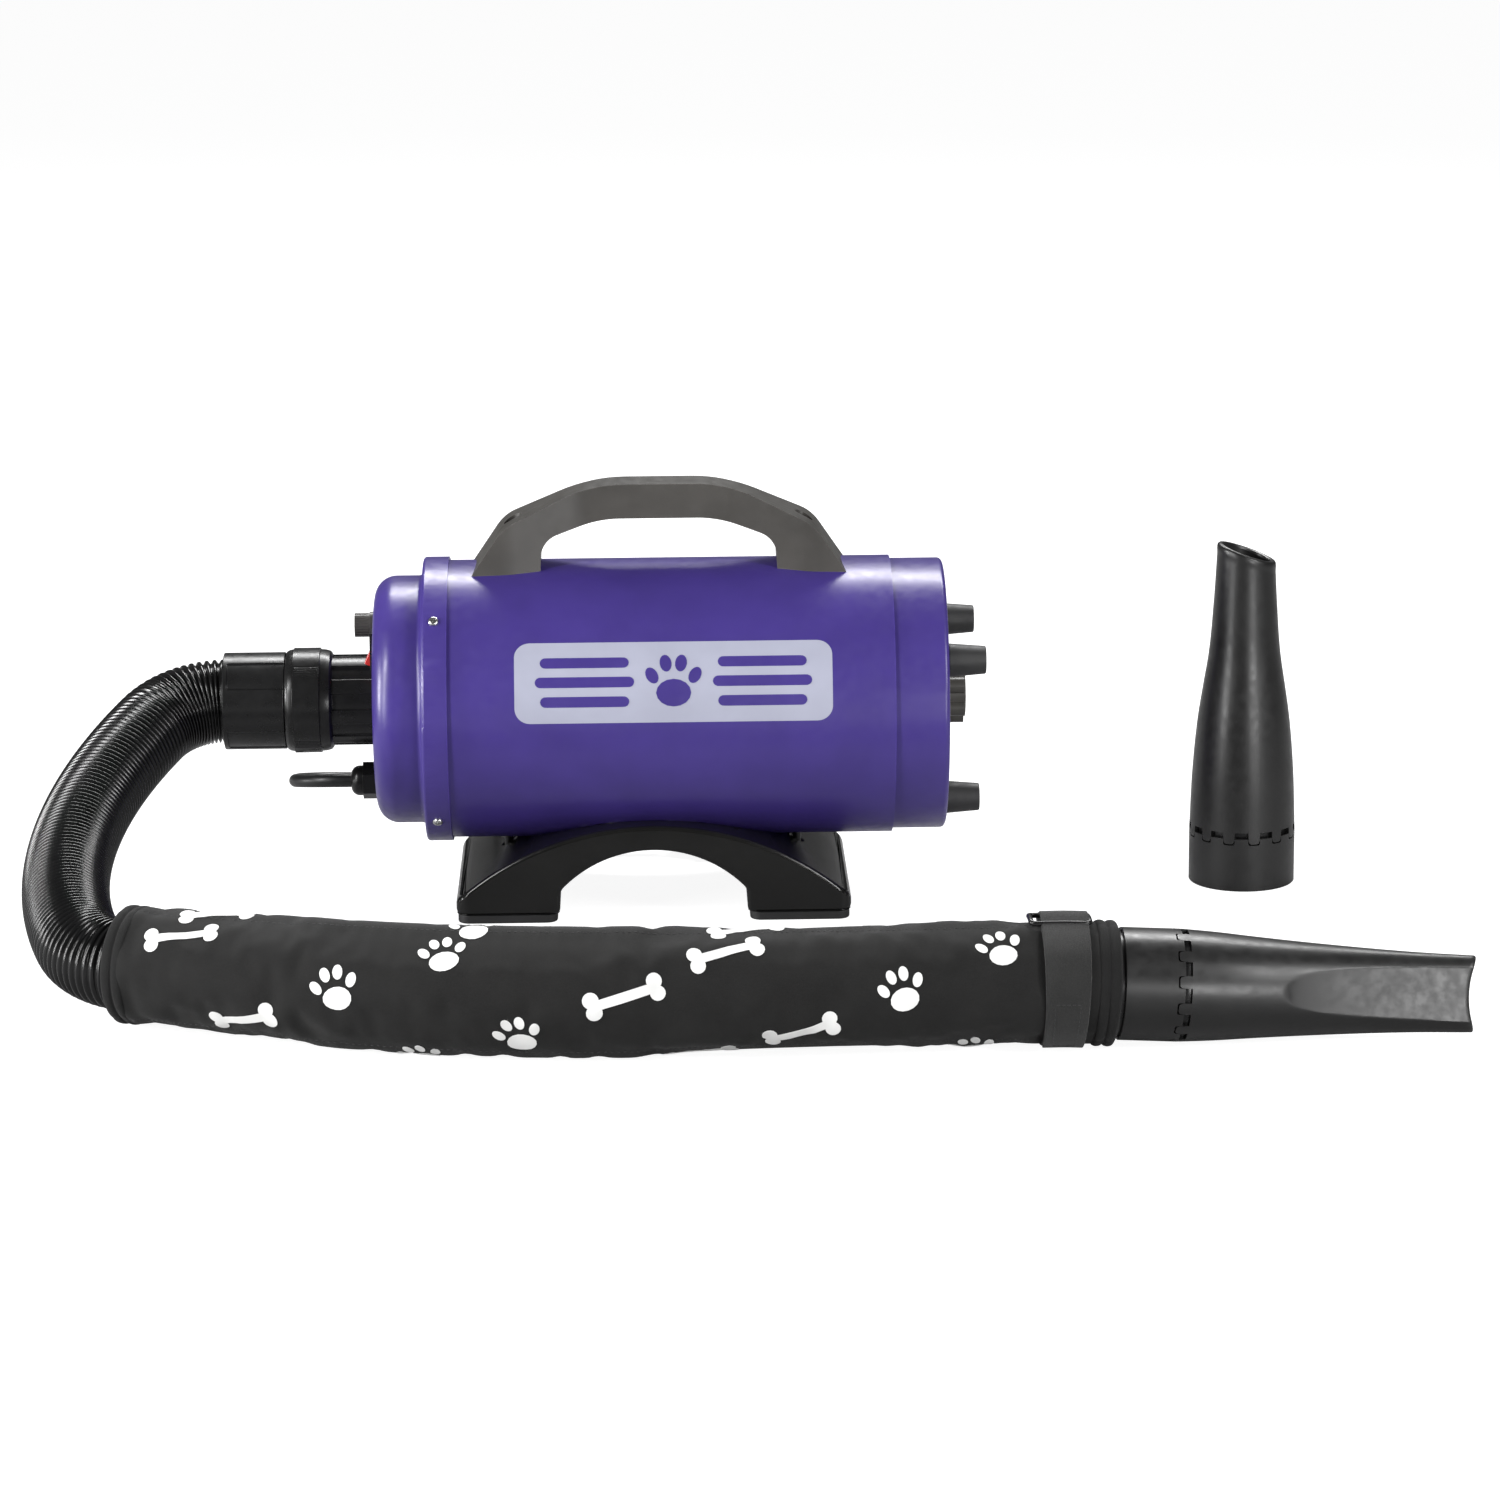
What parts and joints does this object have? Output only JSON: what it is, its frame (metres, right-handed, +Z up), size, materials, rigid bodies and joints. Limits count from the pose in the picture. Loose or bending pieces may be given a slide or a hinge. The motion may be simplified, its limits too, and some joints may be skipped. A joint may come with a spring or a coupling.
{
  "type": "pet dryer",
  "caption": "Pet dryer: round steel blower body on a saddle base, with handle, corrugated hose in a padded sleeve, a flat nozzle and a spare round nozzle.",
  "frame": {"origin": "centre of the underside of the rubber foot pad at the outlet end, on the table", "axes": "+X along the body from the air outlet to the air intake, +Y away from the side where the sleeved hose lies, +Z up"},
  "size_m": [0.8089, 0.4756, 0.2527],
  "materials": {
    "violet_paint": "satin violet powder coat",
    "black_plastic": "moulded black plastic, semi-gloss",
    "satin_plastic": "fine-grained dark grey plastic",
    "hose_plastic": "flexible black plastic",
    "sleeve_fabric": "black padded fabric",
    "strap_webbing": "black hook and loop webbing",
    "rubber": "black rubber",
    "cord_rubber": "smooth black cord jacket",
    "steel": "bright zinc-plated steel",
    "galvanised": "galvanised sheet",
    "aluminium": "pressed aluminium",
    "red_plastic": "glossy red",
    "foam": "open-cell foam",
    "copper": "enamelled copper winding and laminations",
    "mica": "mica board",
    "nichrome": "resistance wire",
    "board": "printed circuit board",
    "carbon": "carbon brush",
    "pin_brass": "plated brass"
  },
  "bodies": {
    "housing": {"body_tube": "violet_paint", "front_cover": "violet_paint", "cover_screws": "steel", "rear_cap": "violet_paint", "intake_grille": "galvanised", "filter_stud": "steel", "rear_feet": "rubber", "rear_foot_screws": "steel", "base": "black_plastic", "foot_pads": "rubber", "base_screws": "steel", "frame_nuts": "steel", "handle": "satin_plastic", "handle_screws": "steel", "outlet_spigot": "black_plastic", "speed_potentiometer": "black_plastic", "switch_housing": "black_plastic", "gland_body": "black_plastic", "gland_nut": "black_plastic", "power_cord": "cord_rubber", "plug_body": "black_plastic", "plug_pins": "pin_brass", "control_board": "board", "heat_sink": "aluminium", "heater_duct": "galvanised", "heater_frame": "mica", "heater_coil": "nichrome", "acoustic_liner": "foam", "motor_bulkheads": "galvanised", "motor_gaskets": "rubber", "fan_cases": "aluminium", "motor_frames": "aluminium", "stators": "copper", "motor_bearings": "steel", "carbon_brushes": "carbon"},
    "front_rotor": {"front_impeller": "aluminium", "front_armature": "copper", "front_shaft": "steel"},
    "rear_rotor": {"rear_impeller": "aluminium", "rear_armature": "copper", "rear_shaft": "steel"},
    "speed_control": {"speed_knob": "satin_plastic", "potentiometer_shaft": "steel"},
    "power_switch": {"switch_rocker": "red_plastic"},
    "outlet_ring": {"lock_ring": "black_plastic"},
    "hose": {"hose_cuff": "black_plastic", "hose_loop": "hose_plastic"},
    "wand": {"hose_run": "hose_plastic", "sleeve": "sleeve_fabric", "strap": "strap_webbing", "strap_buckle": "black_plastic"},
    "hose_end": {"hose_end_cuff": "black_plastic"},
    "flat_nozzle_set": {"flat_nozzle_collar": "black_plastic", "flat_nozzle": "black_plastic"},
    "intake_cover": {"filter_cover": "satin_plastic", "air_filter": "foam"},
    "intake_knob": {"filter_knob": "satin_plastic"},
    "spare_nozzle": {"round_nozzle_collar": "black_plastic", "round_nozzle": "black_plastic"}
  },
  "joints": [
    {"name": "front_motor_spin", "type": "hinge", "parent": "housing", "child": "front_rotor", "pos_m": [0.0575, 0, 0.121], "axis": [1, 0, 0], "continuous": true},
    {"name": "rear_motor_spin", "type": "hinge", "parent": "housing", "child": "rear_rotor", "pos_m": [0.1675, 0, 0.121], "axis": [1, 0, 0], "continuous": true},
    {"name": "speed_knob_turn", "type": "hinge", "parent": "housing", "child": "speed_control", "pos_m": [-0.0785, 0.03, 0.16], "axis": [-1, 0, 0], "range_deg": [-290, 0]},
    {"name": "power_switch_rock", "type": "hinge", "parent": "housing", "child": "power_switch", "pos_m": [-0.0775, -0.029, 0.158], "axis": [0, 1, 0], "range_deg": [-24, 0]},
    {"name": "lock_ring_turn", "type": "hinge", "parent": "housing", "child": "outlet_ring", "pos_m": [-0.1175, 0, 0.121], "axis": [1, 0, 0], "range_deg": [0, 45]},
    {"name": "hose_swivel", "type": "hinge", "parent": "housing", "child": "hose", "pos_m": [-0.1425, 0, 0.121], "axis": [1, 0, 0], "continuous": true},
    {"name": "wand_lift", "type": "hinge", "parent": "hose", "child": "wand", "pos_m": [-0.2025, -0.2654, 0.035], "axis": [0, -1, 0], "range_deg": [0, 60], "deforming": ["hose_loop"]},
    {"name": "nozzle_swivel", "type": "hinge", "parent": "wand", "child": "hose_end", "pos_m": [0.33807, -0.32278, 0.03334], "axis": [0.9978, 0.0348, -0.0558], "continuous": true},
    {"name": "flat_nozzle_pull", "type": "slide", "parent": "hose_end", "child": "flat_nozzle_set", "axis": [0.9978, 0.0348, -0.0558], "range_m": [0, 0.06]},
    {"name": "intake_cover_off", "type": "slide", "parent": "housing", "child": "intake_cover", "axis": [1, 0, 0], "range_m": [0, 0.05]},
    {"name": "intake_knob_turn", "type": "hinge", "parent": "intake_cover", "child": "intake_knob", "pos_m": [0.2635, 0, 0.121], "axis": [1, 0, 0], "continuous": true},
    {"name": "spare_nozzle_lift", "type": "slide", "parent": "housing", "child": "spare_nozzle", "axis": [0, 0, 1], "range_m": [0, 0.15]}
  ]
}
